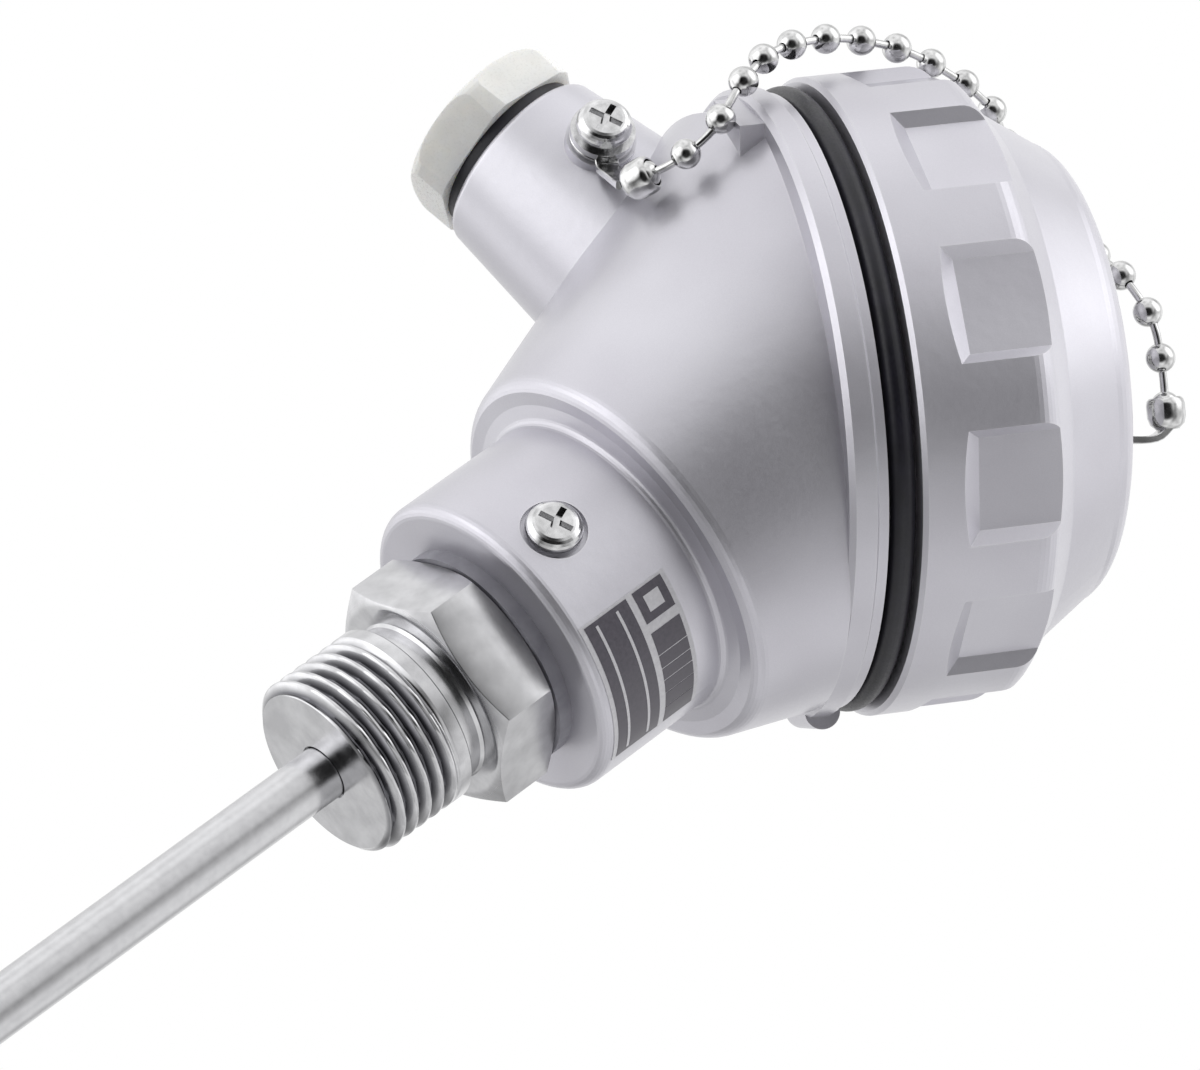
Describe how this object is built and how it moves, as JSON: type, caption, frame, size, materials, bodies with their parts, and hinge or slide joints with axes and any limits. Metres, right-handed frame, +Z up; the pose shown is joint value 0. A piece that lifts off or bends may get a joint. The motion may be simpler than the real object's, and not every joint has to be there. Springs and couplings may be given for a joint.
{
  "type": "rtd probe with head",
  "caption": "Resistance thermometer probe with a sheathed stem, threaded process fitting, painted connection head, plugged cable entry and a screw cap on a ball chain.",
  "frame": {"origin": "centre of the process thread at the hexagon's sealing face", "axes": "+Z up the probe's axis into the head, so the probe points to -Z; X is the plane of symmetry, with the cap leaning to +X and the cable entry pointing to -X"},
  "size_m": [0.0892, 0.07, 0.2149],
  "materials": {
    "head_paint": "satin silver-grey coat on die-cast aluminium",
    "seal_rubber": "matt black",
    "fitting_steel": "turned stainless",
    "sheath_steel": "drawn stainless",
    "screw_steel": "nickel-plated",
    "chain_nickel": "nickel-plated",
    "plug_plastic": "off-white nylon",
    "plate_steel": "stamped stainless",
    "block_ceramic": "unglazed steatite",
    "brass": "turned brass",
    "wire_jacket": "insulated lead"
  },
  "bodies": {
    "head": {"head_body": "head_paint", "cap_o_ring": "seal_rubber", "process_fitting": "fitting_steel", "neck_gasket": "seal_rubber", "neck_set_screw": "screw_steel", "probe_sheath": "sheath_steel", "sheath_core": "block_ceramic", "sensing_element": "block_ceramic", "earth_screw": "screw_steel", "earth_washer": "screw_steel", "chain_eyelet": "chain_nickel", "chain_fixed_run": "chain_nickel", "mounting_plate": "plate_steel", "terminal_block": "block_ceramic", "plate_screws": "screw_steel", "terminal_clamps": "brass", "terminal_screws": "brass", "lead_wires": "wire_jacket"},
    "chain_end": {"chain_free_run": "chain_nickel"},
    "cap_swivel": {"cap_anchor": "chain_nickel"},
    "cap": {"screw_cap": "head_paint", "anchor_screw": "screw_steel"},
    "plug_travel": {"plug_gasket": "seal_rubber"},
    "plug": {"cable_plug": "plug_plastic"}
  },
  "joints": [
    {"name": "cap_off", "type": "slide", "parent": "head", "child": "chain_end", "axis": [0.5075, 0, 0.8616], "range_m": [0, 0.03], "deforming": ["chain_fixed_run", "chain_free_run"]},
    {"name": "cap_unscrew", "type": "slide", "parent": "chain_end", "child": "cap_swivel", "axis": [0.5075, 0, 0.8616], "range_m": [0, 0.012], "deforming": ["chain_fixed_run", "chain_free_run"]},
    {"name": "cap_turn", "type": "hinge", "parent": "cap_swivel", "child": "cap", "pos_m": [-0.0017, 0, 0.0598], "axis": [0.5075, 0, 0.8616], "range_deg": [0, 1800]},
    {"name": "plug_unscrew", "type": "slide", "parent": "head", "child": "plug_travel", "axis": [-0.9986, 0, -0.0523], "range_m": [0, 0.009]},
    {"name": "plug_turn", "type": "hinge", "parent": "plug_travel", "child": "plug", "pos_m": [0, 0, 0.059], "axis": [-0.9986, 0, -0.0523], "range_deg": [0, 2160]}
  ],
  "couplings": [
    {"joint": "cap_unscrew", "follows": "cap_turn", "m_per_rad": 0.00038197},
    {"joint": "plug_unscrew", "follows": "plug_turn", "m_per_rad": 0.00023873}
  ]
}
